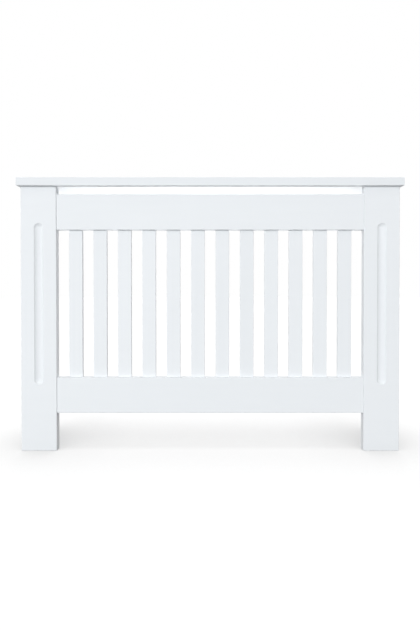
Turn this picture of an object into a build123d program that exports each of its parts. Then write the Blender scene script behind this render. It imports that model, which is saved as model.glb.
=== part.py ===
"""Radiator cover cabinet: a painted slatted front, a shelf and two side panels.

Millimetres. The origin is on the floor, under the middle of the cabinet.
+X is to the right seen from the front, +Y goes towards the wall and +Z is up.
"""

from build123d import *
import os
from math import sqrt

# Shelf
shelf_width = 1118.0
shelf_depth = 190.0
shelf_thickness = 24.0
shelf_height = 795.0  # top of the shelf above the floor
front_overhang = 12.0  # shelf past the faces of the legs
side_overhang = 7.0  # shelf past the outer sides of the legs
edge_radius = 2.0  # softened edges of the painted boards

# Legs, the two boards that run from the floor to the shelf
leg_width = 104.0
leg_thickness = 18.0
groove_width = 27.0
groove_depth = 6.0
groove_length = 471.0
groove_start = 194.0  # lower end of the groove above the floor

# Side panels behind the legs
side_thickness = 18.0
skirting_height = 120.0
skirting_depth = 18.0
skirting_radius = 5.0

# Rails between the legs
rail_height = 104.0
rail_thickness = 18.0
rail_setback = 2.0  # rail behind the face of the leg
bottom_gap = 110.0  # floor to the bottom rail
air_slot = 21.5  # top rail to the shelf

# Slats, let into the backs of both rails
slat_count = 12
slat_width = 40.0
slat_thickness = 9.0
slat_edge_bevel = 1.5
slat_end_gap = 32.5  # leg to the first slat
slat_lap = 12.0  # end of a slat inside each rail

# Tenons on the ends of the rails, and the room round them and the ends of the slats
rail_tenon = 20.0  # rail inside each leg
rail_tenon_thickness = 8.0
rail_shoulder = 13.0  # rail above and below its tenon
joint_clearance = 0.15  # all round
joint_end_clearance = 1.0  # beyond the end

# Dowels
dowel_diameter = 8.0
dowel_length = 30.0
dowel_flat_count = 12
dowel_clearance = 0.1  # round the dowel
dowel_end_clearance = 0.5  # beyond each end of the dowel
dowel_in_leg = 10.5  # the rest goes into the side panel
dowel_in_shelf = 12.0

# Cam locks
cam_diameter = 14.8
cam_height = 12.6
cam_pocket_clearance = 0.1
cam_pocket_end_clearance = 0.4
cam_axis_depth = 9.0  # bolt below the face that holds the cam
cam_distance = 34.0  # cam from the end of its board
shelf_cam_inset = 30.0  # shelf cams from the front and rear edges of a side panel
leg_cam_inset = 150.0  # leg cams from the ends of a side panel
cam_turn = 120.0  # degrees from the open mouth to the locked place

# Bolts that the cams pull
bolt_diameter = 5.0
bolt_reach = 11.0  # threaded end in the leg or the shelf
head_diameter = 7.2
head_length = 2.6
head_clearance = 0.15  # head and shank to the cam
bolt_bore_clearance = 0.15
bolt_end_clearance = 0.6

# Wall brackets under the rear edge of the shelf, and their screws
bracket_inset = 159.0  # middle of a bracket from the end of the shelf
bracket_width = 20.0
bracket_leaf = 32.0
bracket_thickness = 2.0
bracket_bend_radius = 2.0
bracket_corner_cut = 4.0
wall_hole_diameter = 5.0
wall_hole_drop = 19.0  # wall hole below the shelf
screw_place = 19.0  # screw from the wall
screw_hole_clearance = 0.45  # shank to the hole in the bracket
screw_diameter = 3.5
screw_length = 16.0  # under the head
screw_head_diameter = 7.0
screw_head_height = 2.2
screw_bore_clearance = 0.1
screw_end_clearance = 0.6

# Places worked out from the sizes above
LEFT = -1
RIGHT = 1
SIDES = (LEFT, RIGHT)

shelf_underside = shelf_height - shelf_thickness
wall_plane = shelf_depth / 2
leg_front = -shelf_depth / 2 + front_overhang
leg_back = leg_front + leg_thickness
leg_outside = shelf_width / 2 - side_overhang
leg_inside = leg_outside - leg_width
leg_middle = leg_outside - leg_width / 2
leg_middle_y = leg_front + leg_thickness / 2
side_inside = leg_outside - side_thickness
side_joint = side_inside + cam_axis_depth

rail_length = 2 * leg_inside
rail_front = leg_front + rail_setback
rail_middle_y = rail_front + rail_thickness / 2
bottom_rail_top = bottom_gap + rail_height
bottom_rail_middle = bottom_gap + rail_height / 2
top_rail_bottom = shelf_underside - air_slot - rail_height
top_rail_middle = top_rail_bottom + rail_height / 2
rail_tenon_height = rail_height - 2 * rail_shoulder

slat_bottom = bottom_rail_top - slat_lap
slat_length = top_rail_bottom + slat_lap - slat_bottom
slat_middle_y = rail_front + rail_thickness - slat_thickness / 2  # backs flush with the rails'
slat_pitch = (rail_length - 2 * slat_end_gap - slat_width) / (slat_count - 1)
slat_places = [(i - (slat_count - 1) / 2) * slat_pitch for i in range(slat_count)]

groove_radius = (groove_width**2 / 4 + groove_depth**2) / (2 * groove_depth)
groove_centre_y = leg_front + groove_depth - groove_radius
groove_ends = (
    groove_start + groove_width / 2,
    groove_start + groove_length - groove_width / 2,
)

dowel_bore = dowel_diameter / 2 + dowel_clearance
dowel_beyond_leg = dowel_length - dowel_in_leg
dowel_beyond_shelf = dowel_length - dowel_in_shelf
thread_bore = bolt_diameter / 2 + bolt_bore_clearance
thread_bore_depth = bolt_reach + bolt_end_clearance
bolt_bore = head_diameter / 2 + bolt_bore_clearance
cam_pocket = cam_diameter / 2 + cam_pocket_clearance
cam_pocket_depth = cam_height + cam_pocket_end_clearance
head_room = head_diameter + 2 * head_clearance
head_chamber = sqrt(head_diameter**2 + head_length**2) + 2 * head_clearance
bolt_room = bolt_diameter + 2 * head_clearance

shelf_cam_places = (leg_back + shelf_cam_inset, wall_plane - shelf_cam_inset)
shelf_dowel_places = (sum(shelf_cam_places) / 2,)
leg_cam_heights = (leg_cam_inset, shelf_underside - leg_cam_inset)
leg_dowel_heights = (sum(leg_cam_heights) / 2,)
bracket_middle = shelf_width / 2 - bracket_inset
screw_reach = screw_length - bracket_thickness

standing = (Align.CENTER, Align.CENTER, Align.MIN)


# A seat is the plane where two boards meet at a fitting. It looks out of the board that
# takes the thread, or the dowel's first end, so a hole placed on it goes into that board,
# and one placed on the seat turned round goes into the side panel.
def shelf_seats(side, places):
    """Seats on the underside of the shelf, over a side panel."""
    return [Plane((side * side_joint, y, shelf_underside), z_dir=(0, 0, -1)) for y in places]


def leg_seats(side, heights):
    """Seats on the back of a leg, at the front edge of a side panel."""
    return [Plane((side * side_joint, leg_back, height), z_dir=(0, 1, 0)) for height in heights]


def shelf_cam_pockets(side):
    """Pockets in the inner face of a side panel: z looks out, x looks up at the shelf."""
    height = shelf_underside - cam_distance
    return [
        Plane((side * side_inside, y, height), x_dir=(0, 0, 1), z_dir=(-side, 0, 0))
        for y in shelf_cam_places
    ]


def leg_cam_pockets(side):
    """Pockets in the inner face of a side panel: z looks out, x looks at the leg."""
    y = leg_back + cam_distance
    return [
        Plane((side * side_inside, y, height), x_dir=(0, -1, 0), z_dir=(-side, 0, 0))
        for height in leg_cam_heights
    ]


def screw_seat(side):
    """Bracket screw in the underside of the shelf."""
    place = (side * bracket_middle, wall_plane - screw_place, shelf_underside)
    return Plane(place, z_dir=(0, 0, -1))


def turned(seats):
    """The same seats, looking out of the other board."""
    return [-seat for seat in seats]


def save(piece, name):
    """Labels a finished piece and writes it."""
    piece.part.label = name
    export_step(piece.part, f"parts/{name}.step")


def build_shelf():
    """The shelf, softened on every edge but those against the wall."""
    with BuildPart() as shelf:
        with BuildSketch(Plane.XY.offset(shelf_underside)):
            Rectangle(shelf_width, shelf_depth)
        extrude(amount=shelf_thickness)
        rims = shelf.edges().filter_by(Axis.Z, reverse=True).group_by(Axis.Y)[:-1]
        fillet([edge for rim in rims for edge in rim], edge_radius)
        for side in SIDES:
            with Locations(*shelf_seats(side, shelf_cam_places)):
                Hole(thread_bore, thread_bore_depth)
            with Locations(*shelf_seats(side, shelf_dowel_places)):
                Hole(dowel_bore, dowel_in_shelf + dowel_end_clearance)
            with Locations(screw_seat(side)):
                Hole(screw_diameter / 2 + screw_bore_clearance, screw_reach + screw_end_clearance)
    return shelf


def build_leg(side):
    """A leg with its round-ended groove, cut by a ball-nosed cutter run straight up."""
    with BuildPart() as leg:
        with BuildSketch():
            with Locations((side * leg_middle, leg_middle_y)):
                Rectangle(leg_width, leg_thickness)
        extrude(amount=shelf_underside)
        front = leg.faces().sort_by(Axis.Y)[0]
        fillet(front.edges().sort_by(Axis.Z)[:-1], edge_radius)
        with Locations((side * leg_middle, groove_centre_y, sum(groove_ends) / 2)):
            Cylinder(groove_radius, groove_length - groove_width, mode=Mode.SUBTRACT)
        with Locations(*[(side * leg_middle, groove_centre_y, end) for end in groove_ends]):
            Sphere(groove_radius, mode=Mode.SUBTRACT)
        with BuildSketch(Plane.YZ.offset(side * leg_inside)):
            with Locations((leg_middle_y, bottom_rail_middle), (leg_middle_y, top_rail_middle)):
                Rectangle(
                    rail_tenon_thickness + 2 * joint_clearance,
                    rail_tenon_height + 2 * joint_clearance,
                )
        extrude(amount=side * (rail_tenon + joint_end_clearance), mode=Mode.SUBTRACT)
        with Locations(*leg_seats(side, leg_cam_heights)):
            Hole(thread_bore, thread_bore_depth)
        with Locations(*leg_seats(side, leg_dowel_heights)):
            Hole(dowel_bore, dowel_in_leg + dowel_end_clearance)
    return leg


def build_side_panel(side):
    """A side panel, cut away at the lower rear corner to clear a skirting board."""
    notch_y = wall_plane - skirting_depth
    with BuildPart() as panel:
        with BuildSketch(Plane.YZ.offset(side * side_inside)) as outline:
            with BuildLine():
                Polyline(
                    (leg_back, 0),
                    (leg_back, shelf_underside),
                    (wall_plane, shelf_underside),
                    (wall_plane, skirting_height),
                    (notch_y, skirting_height),
                    (notch_y, 0),
                    close=True,
                )
            make_face()
            notch_corner = outline.vertices().sort_by_distance((notch_y, skirting_height))[0]
            fillet(notch_corner, skirting_radius)
        extrude(amount=side * side_thickness)
        bolt_seats = shelf_seats(side, shelf_cam_places) + leg_seats(side, leg_cam_heights)
        with Locations(*turned(bolt_seats)):
            Hole(bolt_bore, cam_distance)
        with Locations(*shelf_cam_pockets(side), *leg_cam_pockets(side)):
            Hole(cam_pocket, cam_pocket_depth)
        with Locations(*turned(shelf_seats(side, shelf_dowel_places))):
            Hole(dowel_bore, dowel_beyond_shelf + dowel_end_clearance)
        with Locations(*turned(leg_seats(side, leg_dowel_heights))):
            Hole(dowel_bore, dowel_beyond_leg + dowel_end_clearance)
    return panel


def build_rail(middle, notched_face, notch_height):
    """A rail with a tenon on each end and a row of notches for the slats in its back."""
    with BuildPart() as rail:
        with BuildSketch(Plane.YZ.offset(-leg_inside)):
            with Locations((rail_middle_y, middle)):
                Rectangle(rail_thickness, rail_height)
        extrude(amount=rail_length)
        fillet(rail.edges().filter_by(Axis.X).group_by(Axis.Y)[0], edge_radius)
        with BuildSketch(Plane.YZ):
            with Locations((leg_middle_y, middle)):
                Rectangle(rail_tenon_thickness, rail_tenon_height)
        extrude(amount=leg_inside + rail_tenon, both=True)
        with BuildSketch(Plane.XY.offset(notched_face)):
            with Locations(*[(x, slat_middle_y) for x in slat_places]):
                Rectangle(slat_width + 2 * joint_clearance, slat_thickness + 2 * joint_clearance)
        extrude(amount=notch_height, mode=Mode.SUBTRACT)
    return rail


def build_slat(place):
    """One slat with bevelled edges. Its ends sit in the notches of the rails."""
    with BuildPart() as slat:
        with BuildSketch(Plane.XY.offset(slat_bottom)) as section:
            with Locations((place, slat_middle_y)):
                Rectangle(slat_width, slat_thickness)
            chamfer(section.vertices(), slat_edge_bevel)
        extrude(amount=slat_length)
    return slat


def build_dowels(seats, first_end):
    """Dowels with flats for the glue, each reaching first_end into the board behind its seat."""
    with BuildPart() as dowels:
        for seat in seats:
            with BuildSketch(seat.offset(-first_end)):
                RegularPolygon(dowel_diameter / 2, dowel_flat_count)
            extrude(amount=dowel_length)
    return dowels


def build_cam_locks(places):
    """Cam locks: a chamber for the bolt's head, the mouth that lets it in, and a slot
    that the bolt follows while the cam turns from its mouth to the locked place."""
    ceiling = cam_axis_depth - head_room / 2
    with BuildPart() as cam:
        with Locations((0, 0, -cam_height)):
            Cylinder(cam_diameter / 2, cam_height, align=standing)
        with BuildSketch(Plane.XY.offset(-ceiling)):
            Rectangle(head_chamber, head_chamber, rotation=cam_turn)
            Rectangle(cam_diameter, head_room, rotation=cam_turn, align=(Align.MIN, Align.CENTER))
        extrude(amount=ceiling - cam_height, mode=Mode.SUBTRACT)
        with BuildSketch(Plane.XY.offset(-cam_axis_depth)):
            Rectangle(cam_diameter, bolt_room, align=(Align.MIN, Align.CENTER))
            with BuildLine():
                Line((0, 0), (cam_diameter, 0))
                turn = CenterArc((0, 0), cam_diameter, 0, cam_turn)
                Line(turn @ 1, (0, 0))
            make_face()
        extrude(amount=bolt_room / 2, both=True, mode=Mode.SUBTRACT)
    with BuildPart() as cams:
        with Locations(*places):
            add(cam.part)
    return cams


def build_bolts(seats):
    """Bolts that screw in behind their seat and end in a head at the middle of the cam."""
    with BuildPart() as bolts:
        with Locations(*seats):
            with Locations((0, 0, -bolt_reach)):
                Cylinder(bolt_diameter / 2, bolt_reach + cam_distance, align=standing)
            with Locations((0, 0, cam_distance - head_length / 2)):
                Cylinder(head_diameter / 2, head_length, align=standing)
    return bolts


def build_bracket(side):
    """A bent steel angle: one leaf under the shelf, one leaf against the wall."""
    middle = side * bracket_middle
    leaf_end_y = wall_plane - bracket_leaf
    leaf_end_z = shelf_underside - bracket_leaf
    inner_y = wall_plane - bracket_thickness
    inner_z = shelf_underside - bracket_thickness
    with BuildPart() as bracket:
        with BuildSketch(Plane.YZ.offset(middle - bracket_width / 2)) as bend:
            with BuildLine():
                Polyline(
                    (leaf_end_y, shelf_underside),
                    (wall_plane, shelf_underside),
                    (wall_plane, leaf_end_z),
                    (inner_y, leaf_end_z),
                    (inner_y, inner_z),
                    (leaf_end_y, inner_z),
                    close=True,
                )
            make_face()
            inside = bend.vertices().sort_by_distance((inner_y, inner_z))[0]
            outside = bend.vertices().sort_by_distance((wall_plane, shelf_underside))[0]
            fillet(inside, bracket_bend_radius)
            fillet(outside, bracket_bend_radius + bracket_thickness)
        extrude(amount=bracket_width)
        shelf_leaf_corners = bracket.edges().filter_by(Axis.Z).group_by(Axis.Y)[0]
        wall_leaf_corners = bracket.edges().filter_by(Axis.Y).group_by(Axis.Z)[0]
        chamfer(shelf_leaf_corners + wall_leaf_corners, bracket_corner_cut)
        with Locations(screw_seat(side)):
            Hole(screw_diameter / 2 + screw_hole_clearance, 2 * bracket_thickness)
        with Locations(Plane((middle, wall_plane, shelf_underside - wall_hole_drop), z_dir=(0, 1, 0))):
            Hole(wall_hole_diameter / 2, 2 * bracket_thickness)
    return bracket


def build_screws(seats):
    """Screws driven up through the brackets into the shelf."""
    with BuildPart() as screws:
        with Locations(*seats):
            with Locations((0, 0, bracket_thickness)):
                Cylinder(screw_head_diameter / 2, screw_head_height, align=standing)
            with Locations((0, 0, -screw_reach)):
                Cylinder(screw_diameter / 2, screw_length, align=standing)
    return screws


os.makedirs("parts", exist_ok=True)

save(build_shelf(), "top_shelf")
save(build_rail(bottom_rail_middle, bottom_rail_top, -slat_lap), "bottom_rail")
save(build_rail(top_rail_middle, top_rail_bottom, slat_lap + joint_end_clearance), "top_rail")

for number, place in enumerate(slat_places, start=1):
    save(build_slat(place), f"slat_{number:02d}")

for side, name in ((LEFT, "left"), (RIGHT, "right")):
    save(build_leg(side), f"{name}_leg")
    save(build_side_panel(side), f"{name}_side_panel")
    save(build_dowels(leg_seats(side, leg_dowel_heights), dowel_in_leg), f"{name}_leg_dowel")
    save(build_bolts(leg_seats(side, leg_cam_heights)), f"{name}_leg_cam_bolts")
    save(build_cam_locks(leg_cam_pockets(side)), f"{name}_leg_cam_locks")
    save(build_bracket(side), f"{name}_wall_bracket")

shelf_bolt_seats = [seat for side in SIDES for seat in shelf_seats(side, shelf_cam_places)]
shelf_dowel_seats = [seat for side in SIDES for seat in shelf_seats(side, shelf_dowel_places)]
save(build_bolts(shelf_bolt_seats), "shelf_cam_bolts")
save(build_cam_locks(shelf_cam_pockets(LEFT) + shelf_cam_pockets(RIGHT)), "shelf_cam_locks")
save(build_dowels(shelf_dowel_seats, dowel_in_shelf), "shelf_dowels")
save(build_screws([screw_seat(side) for side in SIDES]), "bracket_screws")
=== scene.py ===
import math

import bmesh
import bpy
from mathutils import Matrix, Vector


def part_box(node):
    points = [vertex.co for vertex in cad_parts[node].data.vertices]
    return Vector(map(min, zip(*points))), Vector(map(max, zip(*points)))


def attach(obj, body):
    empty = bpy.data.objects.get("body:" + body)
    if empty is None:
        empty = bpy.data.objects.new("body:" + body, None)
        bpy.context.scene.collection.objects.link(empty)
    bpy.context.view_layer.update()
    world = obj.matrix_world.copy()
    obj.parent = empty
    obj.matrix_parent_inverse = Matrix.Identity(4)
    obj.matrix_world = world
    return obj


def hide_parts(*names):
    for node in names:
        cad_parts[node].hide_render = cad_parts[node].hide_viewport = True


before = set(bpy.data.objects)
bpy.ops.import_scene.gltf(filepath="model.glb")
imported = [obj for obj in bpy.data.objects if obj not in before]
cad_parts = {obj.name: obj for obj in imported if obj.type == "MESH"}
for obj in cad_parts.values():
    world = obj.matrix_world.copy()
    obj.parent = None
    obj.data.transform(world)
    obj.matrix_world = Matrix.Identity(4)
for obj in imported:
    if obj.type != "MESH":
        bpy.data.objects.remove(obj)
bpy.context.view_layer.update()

X, Y, Z = 0, 1, 2
LEFT, RIGHT = -1, 1
SIDES = ((LEFT, "left"), (RIGHT, "right"))

# Sizes in metres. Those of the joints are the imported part's own.
EDGE = 0.002  # softened edges of the painted boards
EDGE_STEPS = 6
EASE = 0.0004  # the other edges, rubbed down before painting
RAIL_EASE = 0.001  # those of a rail, whose ends show as fine lines beside the legs
PRESSED_EASE = 0.0002  # those of a pressed bracket
EASE_STEPS = 2
SHARP = 35  # degrees between faces: where shading breaks at an edge
SQUARE = 60  # degrees: where an edge counts as square
TOUCH = 0.00001  # nearer to a face than this counts as on it
SAME_PLACE = 0.000002  # corners nearer than this are one
SLIVER = 0.000001  # shorter edges than this are dropped

GROOVE_WIDTH = 0.027
GROOVE_DEPTH = 0.006
GROOVE_BOTTOM = 0.194
GROOVE_LENGTH = 0.471
GROOVE_RIM = 0.001  # radius of the sanded rim
GROOVE_STEPS = 14
GROOVE_RIM_STEPS = 5
GROOVE_END_STEPS = 24
CUTTER_REACH = 0.002  # of the groove's cutter out of the board

SLATS = 12
SLAT_EDGE = 0.0015
SLAT_EDGE_STEPS = 4
SLAT_SEED = 11  # of the slats' tones
NOTCH_SEED = 1
JOINT_ROOM = 0.00015
JOINT_END_ROOM = 0.001
RAIL_TENON = 0.020
RAIL_TENON_THICKNESS = 0.008
RAIL_SHOULDER = 0.013

SKIRTING_HEIGHT = 0.120
SKIRTING_DEPTH = 0.018
SKIRTING_RADIUS = 0.005
SKIRTING_STEPS = 8

DOWEL_RADIUS = 0.004
DOWEL_LENGTH = 0.030
DOWEL_ROOM = 0.0001
DOWEL_END_ROOM = 0.0005
DOWEL_IN_LEG = 0.0105
DOWEL_IN_SHELF = 0.012
DOWEL_CHAMFER = 0.001
FLUTES = 12
FLUTE_DEPTH = 0.00035
FLUTE_SHARP = 50  # degrees, as SHARP

CAM_RADIUS = 0.0074
CAM_HEIGHT = 0.0126
CAM_AXIS_DEPTH = 0.009
CAM_DISTANCE = 0.034
CAM_TURN = math.radians(120)
SHELF_CAM_INSET = 0.030
LEG_CAM_INSET = 0.150
CAM_POCKET_RADIUS = 0.0075
CAM_POCKET_DEPTH = 0.013
CAM_RIM = 0.0005  # bevel of the cam's ends
CAM_CROSS = (0.0076, 0.0016, 0.0028)  # span, width and depth of the driver's cross
CAM_FACE = 0.86  # of the radius: the flat ring round the sunk face
CAM_SUNK_FACE = 0.82
CAM_ROOM = 1.06  # of the head's width: the chamber that the head comes to rest in
CAM_SLOT_REACH = 1.9  # of the radius: width of the slot's section, open to the outside
CAM_SLOT_STEPS = 17
CAM_MARK_RADIUS = 0.0011
CAM_MARK_DEPTH = 0.0012
CAM_MARK_PLACE = 0.68  # of the radius

BOLT_RADIUS = 0.0025
BOLT_REACH = 0.011
BOLT_HEAD_RADIUS = 0.0036
BOLT_HEAD_LENGTH = 0.0026
BOLT_HEAD_ROOM = 0.0003
BOLT_BORE = 0.00375
THREAD_BORE = 0.00265
THREAD_BORE_DEPTH = 0.0116
BOLT_CORE = 0.0020  # radius under the thread
BOLT_PITCH = 0.0016
BOLT_HEAD_CHAMFER = 0.18  # of the head's length

BRACKET_THICKNESS = 0.002
BRACKET_BEND = 0.002
BRACKET_BEND_STEPS = 10
BRACKET_CORNER = 0.004
WALL_HOLE_RADIUS = 0.0025
WALL_HOLE_DROP = 0.019
SCREW_FROM_WALL = 0.019
SCREW_HOLE_RADIUS = 0.0022
SCREW_RADIUS = 0.00175
SCREW_LENGTH = 0.016
SCREW_HEAD_RADIUS = 0.0035
SCREW_HEAD_HEIGHT = 0.0022
SCREW_BORE = 0.00185
SCREW_BORE_DEPTH = 0.0146
SCREW_CORE = 0.0012
SCREW_PITCH = 0.0014
SCREW_CROSS = (0.0038, 0.0009, 0.0014)  # as CAM_CROSS
SCREW_CROSS_WAY = (1, 0.35, 0)  # where the driver happened to stop

BORE_SIDES = 40
CAM_SIDES = 48
DOWEL_SIDES = 48
STEEL_SIDES = 32  # round the bolts, the screws and the brackets' holes
THREAD_STEPS = 20  # a turn of a thread

# How much lighter a painted board is than the rails. The slats vary by up to 1 either way.
SHELF_TONE = -1.6
LEG_PAINTED_LIGHT = 0.25  # painted light on the right leg, which the key from the left reaches less, and as much painted shade on the left
SIDE_PANEL_TONE = -0.2  # likewise

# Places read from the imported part
shelf_low, shelf_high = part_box("top_shelf")
leg_low, leg_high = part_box("right_leg")
bracket_low, bracket_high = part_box("right_wall_bracket")
first_slat_low, first_slat_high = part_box("slat_01")
last_slat_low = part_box(f"slat_{SLATS:02d}")[0]
top_rail_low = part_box("top_rail")[0]

underside = shelf_low.z
wall = shelf_high.y
leg_back = leg_high.y
leg_middle = (leg_low.x + leg_high.x) / 2
side_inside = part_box("right_side_panel")[0].x
joint_x = side_inside + CAM_AXIS_DEPTH
bracket_middle = (bracket_low.x + bracket_high.x) / 2
slat_pitch = (last_slat_low.x - first_slat_low.x) / (SLATS - 1)
slat_size = first_slat_high - first_slat_low
slat_middle_y = (first_slat_low.y + first_slat_high.y) / 2

shelf_cam_ys = (leg_back + SHELF_CAM_INSET, wall - SHELF_CAM_INSET)
shelf_dowel_y = sum(shelf_cam_ys) / 2
leg_cam_zs = (LEG_CAM_INSET, underside - LEG_CAM_INSET)
leg_dowel_z = sum(leg_cam_zs) / 2


# Nodes, for finishes and for shapes

class Value:
    """A node's output. Arithmetic on it adds Math nodes to its tree."""

    def __init__(self, nodes, socket):
        self.nodes = nodes
        self.socket = socket

    def maths(self, operation, *values):
        return self.nodes.add("ShaderNodeMath", dict(enumerate(values)), operation=operation)

    def out(self, name):
        """Another output of the same node."""
        return Value(self.nodes, self.socket.node.outputs[name])

    def held(self):
        """The value kept between 0 and 1."""
        return self.nodes.add("ShaderNodeClamp", {"Value": self})

    def __add__(self, other):
        return self.maths("ADD", self, other)

    def __radd__(self, other):
        return self.maths("ADD", other, self)

    def __sub__(self, other):
        return self.maths("SUBTRACT", self, other)

    def __rsub__(self, other):
        return self.maths("SUBTRACT", other, self)

    def __mul__(self, other):
        return self.maths("MULTIPLY", self, other)

    def __truediv__(self, other):
        return self.maths("DIVIDE", self, other)


class Nodes:
    """A node tree while it is written."""

    def __init__(self, tree):
        self.tree = tree

    def add(self, kind, sockets=None, output=0, **settings):
        """Adds a node: its settings first, then the numbers or links of its sockets."""
        node = self.tree.nodes.new(kind)
        for name, value in settings.items():
            setattr(node, name, value)
        for name, value in (sockets or {}).items():
            for one in value if isinstance(value, list) else [value]:
                if isinstance(one, Value):
                    self.tree.links.new(one.socket, node.inputs[name])
                else:
                    node.inputs[name].default_value = one
        return Value(self, node.outputs[output]) if len(node.outputs) else None

    def mix(self, factor, first, second):
        """A colour between two others, which are plain colours or values."""
        first, second = [(*c, 1) if isinstance(c, tuple) else c for c in (first, second)]
        return self.add("ShaderNodeMix", {0: factor, 6: first, 7: second}, 2, data_type="RGBA")

    def noise(self, place, scale, detail=2.0, roughness=0.5):
        return self.add("ShaderNodeTexNoise", {"Vector": place, "Scale": scale, "Detail": detail,
                                               "Roughness": roughness})

    def stretched(self, place, x, y, z):
        """Place with its axes scaled, to draw a pattern out along one of them."""
        return self.add("ShaderNodeMapping", {"Vector": place, "Scale": (x, y, z)})


# Finishes. A board's attribute "tone" is its own lightness, on the legs with painted light in it,
# "cut" marks its cut faces, and "worked" is the place of a fitting's point before the fitting was
# put in its own place.

THIN_LACQUER = (0.827, 0.848, 0.866)
FULL_LACQUER = (0.877, 0.895, 0.913)
DARK_BEECH = (0.50, 0.34, 0.19)
LIGHT_BEECH = (0.74, 0.56, 0.36)
BEECH_RAYS = (0.36, 0.20, 0.10)
DULL_ZINC = (0.40, 0.41, 0.43)
CLEAN_ZINC = (0.60, 0.61, 0.62)
RUBBED_ZINC = (0.72, 0.72, 0.72)
BLUE_PLATE = (0.60, 0.63, 0.68)
STRAW_PLATE = (0.72, 0.69, 0.60)
DARK_SHEET = (0.52, 0.54, 0.57)
LIGHT_SHEET = (0.74, 0.75, 0.77)


def new_finish(name):
    """A bare material and its nodes."""
    material = bpy.data.materials.new(name)
    material.use_nodes = True
    material.node_tree.nodes.clear()
    return material, Nodes(material.node_tree)


def surface(nodes, **sockets):
    """The shader of an opaque finish."""
    named = {name.replace("_", " "): value for name, value in sockets.items()}
    shader = nodes.add("ShaderNodeBsdfPrincipled", named)
    nodes.add("ShaderNodeOutputMaterial", {"Surface": shader})


def relief(nodes, height):
    """Normals of a surface raised by height, in metres."""
    return nodes.add("ShaderNodeBump", {"Strength": 1.0, "Distance": 1.0, "Height": height})


def satin_white():
    """Sprayed satin lacquer on fibreboard. Cut edges and the groove drink more of it, so
    they are a little duller and show the fibres."""
    material, nodes = new_finish("satin_white")
    place = nodes.add("ShaderNodeTexCoord", output="Object")
    tone = nodes.add("ShaderNodeAttribute", output="Fac", attribute_name="tone")
    cut = nodes.add("ShaderNodeAttribute", output="Fac", attribute_name="cut")
    drift = nodes.noise(place, 3.2, 2.0)
    passes = nodes.noise(nodes.stretched(place, 1.0, 1.0, 6.0), 9.0, 3.0)
    peel = nodes.noise(place, 420.0, 2.0, 0.55)
    fibres = nodes.noise(place, 1500.0, 3.0, 0.7)
    speck = nodes.add("ShaderNodeTexVoronoi", {"Vector": place, "Scale": 38.0}, "Distance")
    dust = ((0.022 - speck) / 0.012).held()
    # tone: a board's own lightness, and on the legs painted light
    shade = (0.5 + (drift - 0.5) * 0.7 + (passes - 0.5) * 0.35 + tone * 0.22
             - cut * 0.16 - dust * 0.5).held()
    colour = nodes.mix(shade, THIN_LACQUER, FULL_LACQUER)
    dullness = 0.33 + passes * 0.10 + peel * 0.06 + cut * (0.07 + fibres * 0.08)
    height = peel * 0.000026 + passes * 0.00006 + dust * 0.00003 + cut * fibres * 0.000012
    surface(nodes, Base_Color=colour, Roughness=dullness, Normal=relief(nodes, height))
    return material


def beech_grain():
    """Beech with its grain along the dowel, fine pores and short dark rays."""
    material, nodes = new_finish("beech_grain")
    along = nodes.add("ShaderNodeAttribute", output="Vector", attribute_name="worked")
    grain = nodes.noise(nodes.stretched(along, 1.0, 1.0, 0.06), 900.0, 4.0, 0.6)
    rays = nodes.noise(nodes.stretched(along, 1.0, 1.0, 0.22), 2600.0, 1.0)
    flecks = ((rays - 0.62) / 0.08).held()
    colour = nodes.mix(grain, DARK_BEECH, LIGHT_BEECH)
    colour = nodes.mix(flecks * 0.6, colour, BEECH_RAYS)
    height = grain * 0.00006 - flecks * 0.00003
    surface(nodes, Base_Color=colour, Roughness=0.62 + grain * 0.2, Normal=relief(nodes, height))
    return material


def die_cast_zinc():
    """Die-cast zinc: grey, faintly grainy, with duller patches and brighter rubbed spots."""
    material, nodes = new_finish("die_cast_zinc")
    place = nodes.add("ShaderNodeTexCoord", output="Object")
    patches = nodes.noise(place, 210.0, 3.0, 0.6)
    grain = nodes.noise(place, 2400.0, 3.0, 0.65)
    rubbed = ((patches - 0.56) / 0.10).held()
    colour = nodes.mix(patches, DULL_ZINC, CLEAN_ZINC)
    colour = nodes.mix(rubbed * 0.5, colour, RUBBED_ZINC)
    dullness = 0.56 - rubbed * 0.16 + grain * 0.10
    surface(nodes, Base_Color=colour, Metallic=1.0, Roughness=dullness,
            Normal=relief(nodes, grain * 0.00003 + patches * 0.00002))
    return material


def turned_zinc_plate():
    """Bright zinc plate on turned steel: turning rings and a faint blue and straw tint."""
    material, nodes = new_finish("turned_zinc_plate")
    along = nodes.add("ShaderNodeAttribute", output="Vector", attribute_name="worked")
    place = nodes.add("ShaderNodeTexCoord", output="Object")
    rings = nodes.noise(nodes.stretched(along, 0.05, 0.05, 1.0), 5200.0, 2.0)
    tint = nodes.noise(place, 160.0, 2.0)
    colour = nodes.mix(tint, BLUE_PLATE, STRAW_PLATE)
    surface(nodes, Base_Color=colour, Metallic=1.0, Roughness=0.24 + rings * 0.16,
            Normal=relief(nodes, rings * 0.000008))
    return material


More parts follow.
